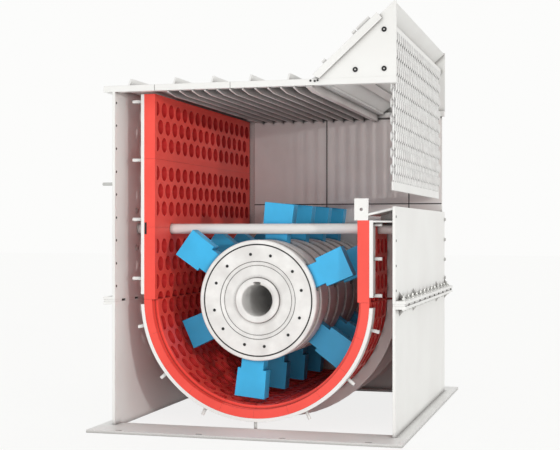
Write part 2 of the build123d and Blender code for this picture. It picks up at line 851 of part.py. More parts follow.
# Thick discs between the hammer rows. What repeats on the rotor is drawn with few sides:
# rims of 48, seats just clear of the round hub, and pin holes just clear of the round pins.
pin_hole_radius = pin_radius + curved_seat_gap
seat_radius = hub_radius + curved_seat_gap
with BuildPart() as rotor_discs:
    for row in range(hammer_rows - 1):
        disc_front = first_slot + hammer_slot + row * row_pitch
        with BuildSketch(ring_plane(disc_front + disc_thickness)):
            RegularPolygon(disc_radius, drum_sides)
            RegularPolygon(seat_radius, seat_sides, major_radius=False, mode=Mode.SUBTRACT)
            with PolarLocations(pin_orbit_radius, pin_count, start_angle=first_pin_angle):
                RegularPolygon(pin_hole_radius, pin_hole_sides, major_radius=False, mode=Mode.SUBTRACT)
        extrude(amount=disc_thickness)
rotor_discs.part.label = "rotor_discs"
export_step(rotor_discs.part, "parts/rotor_discs.step")

# Spacer blocks on the idle pins fill each hammer slot between the swing windows
window_half = hammer_neck_width / 2 / cos(radians(hammer_swing)) + swing_clearance
window_reach = 1.1 * spacer_radius
window_flare = (window_reach - pin_orbit_radius) * tan(radians(hammer_swing))
with BuildSketch() as swing_window:
    with BuildLine():
        Polyline(
            (0, -window_half),
            (pin_orbit_radius, -window_half),
            (window_reach, -window_half - window_flare),
            (window_reach, window_half + window_flare),
            (pin_orbit_radius, window_half),
            (0, window_half),
            close=True,
        )
    make_face()
with BuildPart() as rotor_spacers:
    for row in range(hammer_rows):
        half_turn = 180 / (pin_count // 2)
        working = first_pin_angle + (row % 2) * half_turn
        with BuildSketch(ring_plane(first_slot + row * row_pitch + hammer_slot)):
            RegularPolygon(spacer_radius, drum_sides)
            RegularPolygon(seat_radius, seat_sides, major_radius=False, mode=Mode.SUBTRACT)
            with PolarLocations(0, pin_count // 2, start_angle=working):
                add(swing_window.sketch, mode=Mode.SUBTRACT)
            with PolarLocations(pin_orbit_radius, pin_count // 2, start_angle=working + half_turn):
                RegularPolygon(pin_hole_radius, pin_hole_sides, major_radius=False, mode=Mode.SUBTRACT)
        extrude(amount=hammer_slot)
rotor_spacers.part.label = "rotor_spacers"
export_step(rotor_spacers.part, "parts/rotor_spacers.step")

with BuildPart() as hammer_pins:
    with BuildSketch(ring_plane(last_slot_end)):
        with PolarLocations(pin_orbit_radius, pin_count, start_angle=first_pin_angle):
            Circle(pin_radius)
    extrude(amount=last_slot_end - first_slot)
hammer_pins.part.label = "hammer_pins"
export_step(hammer_pins.part, "parts/hammer_pins.step")

# Hammers: four on each pin, in every other row, with a neck end of four flats
half_neck = hammer_neck_width / 2
shoulder = hammer_shoulder_radius - pin_orbit_radius
tip = hammer_tip_radius - pin_orbit_radius
neck_end = [(half_neck * cos(radians(turn)), half_neck * sin(radians(turn))) for turn in range(90, 271, 45)]
with BuildSketch() as hammer_outline:
    with BuildLine():
        Polyline(
            *neck_end,
            (shoulder, -half_neck),
            (shoulder, -hammer_head_width / 2),
            (tip, -hammer_tip_width / 2),
            (tip, hammer_tip_width / 2),
            (shoulder, hammer_head_width / 2),
            (shoulder, half_neck),
            close=True,
        )
    make_face()
    RegularPolygon(pin_radius + hammer_play, pin_hole_sides, major_radius=False, mode=Mode.SUBTRACT)
for pin in range(pin_count):
    pin_angle = first_pin_angle + pin * 360 / pin_count
    with BuildPart() as hammers:
        for row in range(pin % 2, hammer_rows, 2):
            slot_middle = first_slot + row * row_pitch + hammer_slot / 2
            with BuildSketch(ring_plane(slot_middle + hammer_thickness / 2)):
                with PolarLocations(pin_orbit_radius, 1, start_angle=pin_angle):
                    add(hammer_outline.sketch)
            extrude(amount=hammer_thickness)
    hammers.part.label = f"hammers_{pin + 1}"
    export_step(hammers.part, f"parts/hammers_{pin + 1}.step")

# Shaft stub from the rear, ending inside the hub, and the bearing that carries it
bearing_front = housing_length + bearing_gap_to_wall
journal_end = bearing_front + bearing_width
journal_radius = rear_bore_radius - curved_seat_gap
with BuildPart() as rotor_shaft:
    with BuildSketch(ring_plane(journal_end)):
        Circle(journal_radius)
    extrude(amount=journal_end - shaft_front_depth)
    with BuildSketch(ring_plane(journal_end + shaft_tail)):
        Circle(shaft_tail_radius)
    extrude(amount=shaft_tail)
rotor_shaft.part.label = "rotor_shaft"
export_step(rotor_shaft.part, "parts/rotor_shaft.step")

with BuildPart() as rear_bearing:
    with BuildSketch(ring_plane(journal_end)):
        Circle(bearing_body_radius)
        with Locations((0, -bearing_foot_drop + bearing_foot_height / 2)):
            Rectangle(bearing_foot_width, bearing_foot_height)
        with Locations((0, -bearing_foot_drop / 2)):
            Rectangle(2 * bearing_body_radius, bearing_foot_drop)
        Circle(journal_radius + shaft_play, mode=Mode.SUBTRACT)
    extrude(amount=bearing_width)
rear_bearing.part.label = "rear_bearing"
export_step(rear_bearing.part, "parts/rear_bearing.step")

stand_top = axis_height - bearing_foot_drop
stand_front = at_depth(bearing_front)
stand_rear = stand_front + bearing_width
leg_top = stand_top - stand_top_plate
half_foot = bearing_foot_width / 2
stand_pieces = [slab(-half_foot, half_foot, stand_front, stand_rear, leg_top, stand_top)]
for x in (-stand_leg_spacing / 2, 0, stand_leg_spacing / 2):
    half_leg = stand_leg_thickness / 2
    stand_pieces.append(slab(x - half_leg, x + half_leg, stand_front, stand_rear, base_thickness, leg_top))
with BuildPart() as bearing_stand:
    add(stand_pieces)
bearing_stand.part.label = "bearing_stand"
export_step(bearing_stand.part, "parts/bearing_stand.step")
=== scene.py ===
import json
import math

import bmesh
import bpy
from bpy.props import FloatProperty, IntProperty, PointerProperty, StringProperty
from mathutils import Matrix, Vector, geometry


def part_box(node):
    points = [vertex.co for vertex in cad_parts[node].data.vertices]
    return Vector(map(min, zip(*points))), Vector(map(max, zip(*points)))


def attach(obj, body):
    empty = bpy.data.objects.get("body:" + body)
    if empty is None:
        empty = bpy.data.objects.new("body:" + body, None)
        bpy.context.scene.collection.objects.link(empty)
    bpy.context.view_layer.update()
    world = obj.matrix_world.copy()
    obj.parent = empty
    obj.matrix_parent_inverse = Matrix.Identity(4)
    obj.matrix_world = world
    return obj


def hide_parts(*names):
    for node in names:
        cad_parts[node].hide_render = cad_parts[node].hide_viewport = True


bl_info = {
    "name": "Box Crusher Dressing",
    "version": (1, 0, 0),
    "blender": (4, 5, 0),
    "location": "3D View > Sidebar > Crusher",
    "description": "Dresses the cut-open box crusher with liners, curtain, bolts, paint and a studio",
    "category": "Object",
}

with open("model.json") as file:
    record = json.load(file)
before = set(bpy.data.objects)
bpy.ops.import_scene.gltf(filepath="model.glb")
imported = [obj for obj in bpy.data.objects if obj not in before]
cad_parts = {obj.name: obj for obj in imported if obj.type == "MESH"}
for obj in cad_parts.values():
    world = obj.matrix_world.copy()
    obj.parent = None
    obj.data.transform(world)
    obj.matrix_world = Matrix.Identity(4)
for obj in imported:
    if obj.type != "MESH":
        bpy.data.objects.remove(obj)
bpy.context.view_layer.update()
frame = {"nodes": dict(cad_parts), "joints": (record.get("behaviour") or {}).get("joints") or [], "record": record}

# Places that the pieces below take from the solids
FRONT_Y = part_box("upper_wall_left")[0].y
REAR_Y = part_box("upper_wall_left")[1].y
AXIS = Vector((0, 0, frame["joints"][0]["pos_m"][2]))
LINER_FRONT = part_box("liner_left_middle")[0].y
LINER_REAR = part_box("liner_left_middle")[1].y
LINER_INNER = abs(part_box("liner_left_middle")[1].x)
LINER_OUTER = abs(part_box("liner_left_middle")[0].x)
DISC_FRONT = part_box("front_disc")[0].y

LEFT = Vector((-1, 0, 0))
RIGHT = Vector((1, 0, 0))
FRONTWARD = Vector((0, -1, 0))
REARWARD = Vector((0, 1, 0))
UP = Vector((0, 0, 1))


class CrusherSizes(bpy.types.PropertyGroup):
    """Real sizes of the pieces that the scene adds."""

    hole_diameter: FloatProperty(
        name="Hole diameter", description="Round hole in a liner or grate", default=0.106, unit="LENGTH"
    )
    hole_pitch: FloatProperty(
        name="Hole pitch", description="From hole to hole along a row", default=0.147, unit="LENGTH"
    )
    row_pitch: FloatProperty(
        name="Row pitch", description="From row to row of the flat liners", default=0.128, unit="LENGTH"
    )
    hole_margin: FloatProperty(
        name="Hole margin", description="From the last hole to the rear edge", default=0.06, unit="LENGTH"
    )
    hole_sides: IntProperty(name="Hole sides", description="Sides drawn on each round hole", default=32)
    link_pitch: FloatProperty(
        name="Link pitch", description="Inside length of a chain link", default=0.057, unit="LENGTH"
    )
    link_wire: FloatProperty(
        name="Link wire", description="Wire diameter of a chain link", default=0.015, unit="LENGTH"
    )
    link_width: FloatProperty(
        name="Link width", description="Outside width of a chain link", default=0.050, unit="LENGTH"
    )
    chain_pitch: FloatProperty(
        name="Chain pitch", description="From chain to chain of the curtain", default=0.0796, unit="LENGTH"
    )
    chain_count: IntProperty(name="Chains", description="Chains in the curtain", default=28)
    bolt_size: FloatProperty(
        name="Bolt size", description="Thread diameter of the housing bolts", default=0.020, unit="LENGTH"
    )


class CrusherColours(bpy.types.PropertyGroup):
    """Paint colours, as sRGB hex values."""

    housing: StringProperty(name="Housing", description="Paint of the housing", default="#EFEFED")
    plate: StringProperty(name="Wear plate", description="Paint of the inner plates", default="#ECE7E5")
    liner: StringProperty(name="Liner", description="Paint of liners and grate", default="#F85448")
    hammer: StringProperty(name="Hammer", description="Paint of the hammers", default="#3AB8EE")
    rotor: StringProperty(name="Rotor", description="Paint of the rotor body", default="#DCD7D5")
    steel: StringProperty(name="Steel", description="Bare steel of pins and bolts", default="#8E8E90")
    dark: StringProperty(name="Dark steel", description="Blackened screws and seals", default="#191A1C")
    floor: StringProperty(name="Floor", description="Studio floor and backdrop", default="#FAFAF8")


def linear(text):
    """An sRGB hex value as linear red, green, blue and alpha."""
    channels = [int(text[start : start + 2], 16) / 255 for start in (1, 3, 5)]
    return [c / 12.92 if c <= 0.04045 else ((c + 0.055) / 1.055) ** 2.4 for c in channels] + [1]


def add_node(tree, kind, inputs=None, **settings):
    """Adds a node, with its settings and the values or links of its inputs."""
    new = tree.nodes.new(kind)
    for name, value in settings.items():
        setattr(new, name, value)
    for name, value in (inputs or {}).items():
        if isinstance(value, bpy.types.NodeSocket):
            tree.links.new(value, new.inputs[name])
        else:
            new.inputs[name].default_value = value
    return new


def new_tree(name):
    """A material with an empty node tree."""
    material = bpy.data.materials.new(name)
    material.use_nodes = True
    material.node_tree.nodes.clear()
    return material, material.node_tree


def finish_tree(tree, shader):
    add_node(tree, "ShaderNodeOutputMaterial", {"Surface": shader.outputs["BSDF"]})


def blend(tree, factor, low, high):
    """The colour between two, each a hex value or a socket, at a factor's socket."""
    mix = add_node(tree, "ShaderNodeMix", {"Factor": factor}, data_type="RGBA")
    for index, value in ((6, low), (7, high)):
        if isinstance(value, str):
            mix.inputs[index].default_value = linear(value)
        else:
            tree.links.new(value, mix.inputs[index])
    return mix.outputs[2]


def ramp(tree, value, low, high, to_low=0.0, to_high=1.0):
    """A value's range from low to high, spread over another range."""
    limits = {"Value": value, "From Min": low, "From Max": high, "To Min": to_low, "To Max": to_high}
    return add_node(tree, "ShaderNodeMapRange", limits).outputs["Result"]


def larger(tree, first, second):
    """The larger of two sockets' values."""
    inputs = {0: first, 1: second}
    return add_node(tree, "ShaderNodeMath", inputs, operation="MAXIMUM").outputs["Value"]


def coated(name, colour, shade, corner_shade, roughness, grain, relief, cloud=0.6, edge=0.003, corner=0.03):
    """A sprayed paint coat over steel, with cloudy tone, uneven gloss and painted shade in the corners.

    colour, shade and corner_shade are hex values; corner_shade is the painted shade that darkens inner corners.
    grain is the size of the surface texture and relief its depth, edge the radius of broken edges and corner the
    reach of the painted shade, all in metres.
    """
    material, tree = new_tree(name)
    place = add_node(tree, "ShaderNodeTexCoord").outputs["Object"]
    # Spray passes overlap in clouds about cloud metres across
    clouds = add_node(tree, "ShaderNodeTexNoise", {"Vector": place, "Scale": 1 / cloud, "Detail": 4.0})
    grains = add_node(tree, "ShaderNodeTexNoise", {"Vector": place, "Scale": 1 / grain, "Detail": 3.0})
    coat = blend(tree, ramp(tree, clouds.outputs["Fac"], 0.35, 0.65), shade, colour)
    # Painted shade: the coat darkens towards corner_shade in inner corners, within corner metres of the next plate
    nook = add_node(tree, "ShaderNodeAmbientOcclusion", {"Distance": corner}, samples=6)
    tone = blend(tree, ramp(tree, nook.outputs["AO"], 0.3, 0.92), corner_shade, coat)
    gloss = ramp(tree, clouds.outputs["Fac"], 0.0, 1.0, roughness - 0.06, roughness + 0.06)
    soft = add_node(tree, "ShaderNodeBevel", {"Radius": edge}, samples=4)
    bump_values = {
        "Height": grains.outputs["Fac"],
        "Distance": relief,
        "Strength": 0.5,
        "Normal": soft.outputs["Normal"],
    }
    bump = add_node(tree, "ShaderNodeBump", bump_values)
    surface = {"Base Color": tone, "Roughness": gloss, "Normal": bump.outputs["Normal"], "IOR": 1.45}
    finish_tree(tree, add_node(tree, "ShaderNodeBsdfPrincipled", surface))
    return material


def bare_steel(name, colour, roughness, line, stretch):
    """Cut or ground steel, with tool marks about line metres apart and squeezed by stretch."""
    material, tree = new_tree(name)
    place = add_node(tree, "ShaderNodeTexCoord").outputs["Object"]
    scaled = add_node(tree, "ShaderNodeMapping", {"Vector": place, "Scale": stretch})
    grain = {"Vector": scaled.outputs["Vector"], "Scale": 1 / line, "Detail": 2.0}
    marks = add_node(tree, "ShaderNodeTexNoise", grain).outputs["Fac"]
    relief = {"Height": marks, "Distance": 0.0003, "Strength": 0.4}
    surface = {
        "Base Color": linear(colour),
        "Metallic": 1.0,
        "Roughness": ramp(tree, marks, 0.0, 1.0, roughness - 0.08, roughness + 0.08),
        "Normal": add_node(tree, "ShaderNodeBump", relief).outputs["Normal"],
    }
    finish_tree(tree, add_node(tree, "ShaderNodeBsdfPrincipled", surface))
    return material


def paints():
    """Every finish of the crusher by name, made once."""
    if "housing enamel" in bpy.data.materials:
        return bpy.data.materials
    tones = bpy.context.scene.crusher_colours
    # Alkyd machine enamel, sprayed on shot-blasted plate: even off-white with a faint orange peel.
    # The peel is 3 mm across on the real plate and is drawn at 9 mm so that it shows.
    coated("housing enamel", tones.housing, "#E9E8E6", "#6B6663", 0.42, 0.009, 0.0004, corner=0.045)
    # The same enamel in grey on the wear plates inside, rubbed dull by stone.
    coated("wear plate enamel", tones.plate, "#E5DFDD", "#4A4543", 0.6, 0.012, 0.0008, cloud=0.35)
    # The same enamel on the bars under the roof, with deep painted shade in the gaps between them.
    bar_gap_shade = {"cloud": 0.35, "corner": 0.09}
    coated("wear bar enamel", tones.plate, "#DDD6D4", "#2E2A29", 0.6, 0.012, 0.0008, **bar_gap_shade)
    # Red oxide enamel on manganese steel castings: a sand-cast skin, 6 mm grain, under the coat.
    cast = {"cloud": 0.3, "corner": 0.02}
    coated("liner enamel", tones.liner, "#F04C40", "#5E0A08", 0.45, 0.006, 0.0009, **cast)
    # The same red, darker and dull, in the bores: painted shade of the hole walls.
    coated("liner bore painted shade", "#CF2A28", "#C02321", "#7A0F0E", 0.6, 0.006, 0.0009, **cast)
    # Blue enamel on cast hammers: a smoother casting, satin, with painted shade in the hollows.
    satin = {"cloud": 0.2, "edge": 0.005}
    coated("hammer enamel", tones.hammer, "#36AFE3", "#0E4468", 0.38, 0.005, 0.0005, **satin)
    # The rotor face's white enamel on the turned rotor body, painted greyer: painted shade.
    turned_body = {"cloud": 0.3, "edge": 0.006}
    coated("rotor enamel", tones.rotor, "#D2CCC9", "#4A4240", 0.45, 0.008, 0.0004, **turned_body)
    # White enamel on the turned rotor face, rubbed in clouds about a hand across.
    rubbed = {"cloud": 0.13, "edge": 0.005}
    coated("rotor face enamel", "#EFEEEC", "#DEDCDA", "#6C6765", 0.38, 0.008, 0.0003, **rubbed)
    # White enamel on welded chain: round wire, dipped.
    dipped = {"cloud": 0.1, "edge": 0.002}
    coated("chain enamel", "#F2F2F1", "#E4E3E2", "#1E1C1B", 0.42, 0.004, 0.0003, **dipped)
    # Carbon steel, cylindrically ground: rings of fine grinding marks round the shaft.
    bare_steel("ground steel", tones.steel, 0.34, 0.004, (1.0, 12.0, 1.0))
    # Carbon steel bolts, zinc plated: bright and slightly dull.
    bare_steel("zinc plated steel", "#C9C9C6", 0.38, 0.003, (1.0, 1.0, 1.0))
    # Blackened alloy steel screws: near black with a dull sheen.
    small = {"cloud": 0.05, "edge": 0.001}
    coated("blackened steel", tones.dark, "#101113", "#060607", 0.5, 0.003, 0.0002, **small)
    # Black rubber strip, extruded: matt, with a fine skin.
    coated("seal rubber", "#2B2929", "#242222", "#100F0F", 0.75, 0.003, 0.0002, **small)
    return bpy.data.materials


PAINT_OF_SLOT = {
    "white_paint": "housing enamel",
    "grey_plate": "wear plate enamel",
    "red_liner": "liner enamel",
    "blue_hammer": "hammer enamel",
    "white_rotor": "rotor face enamel",
    "grey_rotor": "rotor enamel",
    "ground_steel": "ground steel",
    "chain_steel": "chain enamel",
}


def piece_from(name, mesh_maker, paint, body, smooth=35, second_paint=None):
    """A new object with the mesh that mesh_maker draws in a bmesh, painted and riding on a body."""
    mesh = bpy.data.meshes.new(name)
    shape = bmesh.new()
    mesh_maker(shape)
    bmesh.ops.recalc_face_normals(shape, faces=shape.faces)
    shape.to_mesh(mesh)
    shape.free()
    mesh.polygons.foreach_set("use_smooth", [True] * len(mesh.polygons))
    mesh.set_sharp_from_angle(angle=math.radians(smooth))
    piece = bpy.data.objects.new(name, mesh)
    bpy.context.scene.collection.objects.link(piece)
    mesh.materials.append(paints()[paint])
    if second_paint:
        mesh.materials.append(paints()[second_paint])
    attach(piece, body)
    return piece


def circle_points(centre, radius, sides, start=0.0, turn=2 * math.pi):
    """Points on a circle or an arc in a plane."""
    count = sides if turn >= 2 * math.pi else sides + 1
    steps = [start + turn * index / sides for index in range(count)]
    return [(centre[0] + radius * math.cos(a), centre[1] + radius * math.sin(a)) for a in steps]


def extent(outline):
    """The low and high corner of a flat outline."""
    return [[pick(p[axis] for p in outline) for axis in (0, 1)] for pick in (min, max)]


def bridge(shape, rings, is_closed=False):
    """Joins each ring of vertices to the next one, and the last to the first where closed."""
    following_rings = rings[1:] + rings[:1] if is_closed else rings[1:]
    for ring, following in zip(rings, following_rings):
        for index in range(len(ring)):
            other = (index + 1) % len(ring)
            shape.faces.new((ring[index], ring[other], following[other], following[index]))


def cap_ends(shape, rings):
    """Closes the two ends of a run of rings."""
    shape.faces.new(rings[0][::-1])
    shape.faces.new(rings[-1])


def perforated_sheet(shape, outline, rings, is_hole):
    """Fills a rectangular outline around rings of points, apart from where is_hole is true."""
    low, high = extent(outline)
    points = []
    edges = []
    for ring in [outline, *rings]:
        first = len(points)
        points += [Vector(p) for p in ring]
        edges += [(first + i, first + (i + 1) % len(ring)) for i in range(len(ring))]
    found = geometry.delaunay_2d_cdt(points, edges, [], 0, 1e-6)
    corners = [shape.verts.new((p.x, p.y, 0)) for p in found[0]]
    faces = []
    for triangle in found[2]:
        centre = sum((found[0][i] for i in triangle), Vector((0, 0))) / len(triangle)
        is_inside = low[0] < centre.x < high[0] and low[1] < centre.y < high[1]
        if is_inside and not is_hole(centre):
            faces.append(shape.faces.new([corners[i] for i in triangle]))
    loose = [v for v in shape.verts if not v.link_faces]
    bmesh.ops.delete(shape, geom=loose, context="VERTS")
    return faces


def thicken(shape, faces, depth):
    """Extrudes a sheet along Z, walls included, and returns the moved faces."""
    made = bmesh.ops.extrude_face_region(shape, geom=faces, use_keep_orig=True)
    moved = [g for g in made["geom"] if isinstance(g, bmesh.types.BMVert)]
    bmesh.ops.translate(shape, verts=moved, vec=(0, 0, depth))
    return [g for g in made["geom"] if isinstance(g, bmesh.types.BMFace)]


def mark_bores(shape, outline, plain_places=()):
    """Gives the second paint, the bores' painted shade, to the walls of the holes, not to the outline or to plain
    places.
    """
    low, high = extent(outline)
    shape.normal_update()
    for face in shape.faces:
        x, y = face.calc_center_median()[:2]
        inside = low[0] + NEAR < x < high[0] - NEAR and low[1] + NEAR < y < high[1] - NEAR
        if inside and abs(face.normal.z) < 0.5 and all(abs(y - place) > NEAR for place in plain_places):
            face.material_index = 1


def hole_row(first, sizes, end):
    """Places of the holes of one row, from first to the last that leaves a margin before end."""
    count = int((end - sizes.hole_margin - first) / sizes.hole_pitch) + 1
    return [first + step * sizes.hole_pitch for step in range(count)]


NEAR = 0.0002

# Depths behind the housing's front edge: whole rows start at WHOLE_START, behind half a hole at
# HALF_HOLE, and shifted rows at SHIFT_START
HALF_HOLE = 0.149
SHIFT_START = 0.223
WHOLE_START = 0.296
LOW_ROW = 0.915
UPPER_ROWS = {"liner_left_middle": 1.572, "liner_left_top": 2.037}
PIPE_CLEARANCE = 0.0015


def row_heights(node, sizes):
    """Heights of a plate's rows from the top down. A low plate's edge halves its lowest row."""
    if node in UPPER_ROWS:
        return [UPPER_ROWS[node] + step * sizes.row_pitch for step in (2, 1, 0)]
    return [LOW_ROW + step * sizes.row_pitch for step in (3, 2, 1, 0)]


def liner_plate(node, side):
    sizes = bpy.context.scene.crusher_sizes
    low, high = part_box(node)
    radius = sizes.hole_diameter / 2
    holes = []
    for index, height in enumerate(row_heights(node, sizes)):
        start = SHIFT_START if index % 2 else WHOLE_START
        holes += [(FRONT_Y + d, height) for d in hole_row(start, sizes, high.y - FRONT_Y)]
        if index % 2 == 0:
            holes.append((FRONT_Y + HALF_HOLE, height))
    half_y = FRONT_Y + HALF_HOLE
    rings = []
    for y, z in holes:
        if y == half_y:
            rings.append(circle_points((y, z), radius, sizes.hole_sides // 2, -math.pi / 2, math.pi))
        elif z - radius < low.z:
            rings.append(circle_points((y, low.z), radius, sizes.hole_sides // 2, 0, math.pi))
        else:
            rings.append(circle_points((y, z), radius, sizes.hole_sides))
    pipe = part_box("cross_pipe")
    pipe_centre = ((pipe[0].y + pipe[1].y) / 2, (pipe[0].z + pipe[1].z) / 2)
    pipe_radius = (pipe[1].z - pipe[0].z) / 2 + PIPE_CLEARANCE
    has_pipe = low.z < pipe_centre[1] + pipe_radius and high.z > pipe_centre[1] - pipe_radius
    if has_pipe:
        rings.append(circle_points(pipe_centre, pipe_radius, 40))

    def is_hole(point):
        if has_pipe and (point - Vector(pipe_centre)).length < pipe_radius:
            return True
        for y, z in holes:
            if y == half_y and point.x < half_y:
                continue
            if (point - Vector((y, max(z, low.z)))).length < radius:
                return True
        return False

    outline = [(low.y, low.z), (high.y, low.z), (high.y, high.z), (low.y, high.z)]

    def make(shape):
        faces = perforated_sheet(shape, outline, rings, is_hole)
        thicken(shape, faces, LINER_OUTER - LINER_INNER)
        mark_bores(shape, outline)
        for v in shape.verts:
            v.co = (side * (LINER_INNER + v.co.z), v.co.x, v.co.y)

    plate = piece_from(
        f"perforated_{node}", make, "liner enamel", "housing", second_paint="liner bore painted shade"
    )
    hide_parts(node)


class CRUSHER_OT_liners(bpy.types.Operator):
    """Perforated liner plates with staggered rows of round holes"""

    bl_idname = "crusher.liners"
    bl_label = "Liner plates"

    def execute(self, context):
        for node in ("liner_left_low", "liner_left_middle", "liner_left_top", "liner_right"):
            liner_plate(node, 1 if node == "liner_right" else -1)
        return {"FINISHED"}


GRATE_SEGMENTS = 10
GRATE_LIP = 0.170
GRATE_HALF = 0.197
GRATE_LIP_RADIUS = 0.765


def grate_segment(shape, first_angle):
    """One curved grate segment with a whole and a shifted row of holes, joined to the bmesh."""
    sizes = bpy.context.scene.crusher_sizes
    radius = sizes.hole_diameter / 2
    span = math.pi / GRATE_SEGMENTS
    gap = 0.0003 / LINER_INNER
    piece = bmesh.new()
    front = LINER_FRONT
    rear = LINER_REAR
    lip = FRONT_Y + GRATE_LIP
    half_y = FRONT_Y + GRATE_HALF
    # The sheet is drawn flat: X is the arc length at the inner radius, Y the depth
    low_arc = gap * LINER_INNER
    high_arc = (span - gap) * LINER_INNER
    steps = 8
    arcs = [low_arc + (high_arc - low_arc) * i / steps for i in range(steps + 1)]
    outline = [(a, front) for a in arcs] + [(high_arc, lip)]
    outline += [(a, rear) for a in reversed(arcs)] + [(low_arc, lip)]
    holes = []
    for part, start in ((0.25, WHOLE_START), (0.75, SHIFT_START)):
        arc = part * span * LINER_INNER
        holes += [(arc, FRONT_Y + d) for d in hole_row(start, sizes, rear - FRONT_Y)]
    rings = [[(a, lip) for a in arcs]]
    for arc, y in holes:
        if y - radius < half_y:
            start = math.asin((half_y - y) / radius)
            rings.append(circle_points((arc, y), radius, 22, start, math.pi - 2 * start))
        else:
            rings.append(circle_points((arc, y), radius, sizes.hole_sides))

    def is_hole(point):
        return any(
            (point - Vector(hole)).length < radius and (hole[1] - radius >= half_y or point.y > half_y)
            for hole in holes
        )

    faces = perforated_sheet(piece, outline, rings, is_hole)
    outer_to_lip = LINER_OUTER - GRATE_LIP_RADIUS
    moved = thicken(piece, faces, outer_to_lip)
    raised = [f for f in moved if f.calc_center_median().y > lip]
    made = bmesh.ops.extrude_face_region(piece, geom=raised)
    rim = [g for g in made["geom"] if isinstance(g, bmesh.types.BMVert)]
    bmesh.ops.translate(piece, verts=rim, vec=(0, 0, GRATE_LIP_RADIUS - LINER_INNER))
    mark_bores(piece, outline, (lip,))
    for v in piece.verts:
        angle = first_angle + v.co.x / LINER_INNER
        reach = LINER_OUTER - v.co.z
        v.co = (reach * math.cos(angle), v.co.y, AXIS.z + reach * math.sin(angle))
    mesh = bpy.data.meshes.new("segment")
    piece.to_mesh(mesh)
    piece.free()
    shape.from_mesh(mesh)
    bpy.data.meshes.remove(mesh)


class CRUSHER_OT_grate(bpy.types.Operator):
    """Round bottom grate of curved perforated segments"""

    bl_idname = "crusher.grate"
    bl_label = "Bottom grate"

    def execute(self, context):
        def make(shape):
            for index in range(GRATE_SEGMENTS):
                grate_segment(shape, math.pi * (1 + index / GRATE_SEGMENTS))

        grate = piece_from(
            "perforated_grate", make, "liner enamel", "housing", second_paint="liner bore painted shade"
        )
        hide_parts("bottom_grate")
        return {"FINISHED"}


def chain_link(shape, centre, across, sizes):
    """One welded oblong link of round wire, standing in the plane of Z and the across direction."""
    wire = sizes.link_wire / 2
    bend = sizes.link_width / 2 - wire
    straight = (sizes.link_pitch + 2 * sizes.link_wire) / 2 - wire - bend
    path = []
    half_turn_steps = 7
    for end in (1, -1):
        for step in range(half_turn_steps + 1):
            angle = math.pi * step / half_turn_steps
            out = end * bend * math.cos(angle)
            up = end * (straight + bend * math.sin(angle))
            # Normal of the path, which points out of the link
            normal = (end * math.cos(angle), end * math.sin(angle))
            path.append((out, up, normal))
    sides = 8
    side_way = Vector((0, 0, 1)).cross(across)
    rings = []
    for out, up, normal in path:
        outward = across * normal[0] + Vector((0, 0, normal[1]))
        middle = centre + across * out + Vector((0, 0, up))
        ring = []
        for index in range(sides):
            a = 2 * math.pi * index / sides
            ring.append(shape.verts.new(middle + wire * (math.cos(a) * outward + math.sin(a) * side_way)))
        rings.append(ring)
    bridge(shape, rings, is_closed=True)


class CRUSHER_OT_curtain(bpy.types.Operator):
    """Curtain of welded chains, hung side by side across the feed opening"""

    bl_idname = "crusher.curtain"
    bl_label = "Chain curtain"

    def execute(self, context):
        sizes = context.scene.crusher_sizes
        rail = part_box("curtain_rail")
        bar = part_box("curtain_bar")
        x = (rail[0].x + rail[1].x) / 2
        top = rail[0].z
        bottom = bar[1].z
        links = int(round((top - bottom) / sizes.link_pitch))
        pitch = (top - bottom) / links
        first = -(sizes.chain_count - 1) * sizes.chain_pitch / 2

        def make(shape, odd, across):
            for chain in range(sizes.chain_count):
                for index in range(odd, links, 2):
                    centre = Vector((x, first + chain * sizes.chain_pitch, top - (index + 0.5) * pitch))
                    chain_link(shape, centre, across, sizes)

        links_of = {"curtain_links_facing": (0, RIGHT), "curtain_links_along": (1, REARWARD)}
        facing, along = [
            piece_from(name, lambda shape: make(shape, *turn), "chain enamel", "housing", 60)
            for name, turn in links_of.items()
        ]
        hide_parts("curtain_chains")
        return {"FINISHED"}


def prism(shape, centre, axis, radius, depth, sides, bevel=0.0, turn=0.0):
    """A round or hexagonal prism from centre along axis, with its far rim broken by bevel."""
    turned = axis.to_track_quat("Z", "Y").to_matrix()
    levels = [(0, radius), (depth - bevel, radius)]
    if bevel:
        levels.append((depth, radius - bevel))
    rings = []
    for height, reach in levels:
        ring = []
        for index in range(sides):
            a = turn + 2 * math.pi * index / sides
            corner = Vector((reach * math.cos(a), reach * math.sin(a), height))
            ring.append(shape.verts.new(centre + turned @ corner))
        rings.append(ring)
    bridge(shape, rings)
    cap_ends(shape, rings)


SCREW_SIDES = 16
SCREW_EDGE = 0.001


def screw(shape, place, axis, radius, height):
    """A low round screw head, seated at place."""
    prism(shape, place, axis, radius, height, SCREW_SIDES, SCREW_EDGE)


def long_bar(shape, section, start, end):
    """A bar along Y with the same X, Z section all the way."""
    rings = [[shape.verts.new((x, y, z)) for x, z in section] for y in (start, end)]
    bridge(shape, rings)
    cap_ends(shape, rings)


def rectangle(x_low, x_high, z_low, z_high):
    """The X, Z section of a flat bar."""
    return ((x_low, z_low), (x_high, z_low), (x_high, z_high), (x_low, z_high))


def washer_bolt(shape, place, axis, size, turn=0.0):
    """A hexagon head on a round washer, seated at place."""
    washer = 0.18 * size
    prism(shape, place, axis, 1.0 * size, washer, 20, 0.05 * size)
    prism(shape, place + washer * axis, axis, 0.85 * size, 0.62 * size, 6, 0.08 * size, turn)


def torus(shape, centre, axis, radius, wire, steps, sides=8):
    """A ring of round section about an axis."""
    turned = axis.to_track_quat("Z", "Y").to_matrix()
    rings = []
    for index in range(steps):
        a = 2 * math.pi * index / steps
        out = turned @ Vector((math.cos(a), math.sin(a), 0))
        ring = []
        for step in range(sides):
            b = 2 * math.pi * step / sides
            reach = radius + wire * math.cos(b)
            ring.append(shape.verts.new(centre + out * reach + wire * math.sin(b) * axis))
        rings.append(ring)
    bridge(shape, rings, is_closed=True)


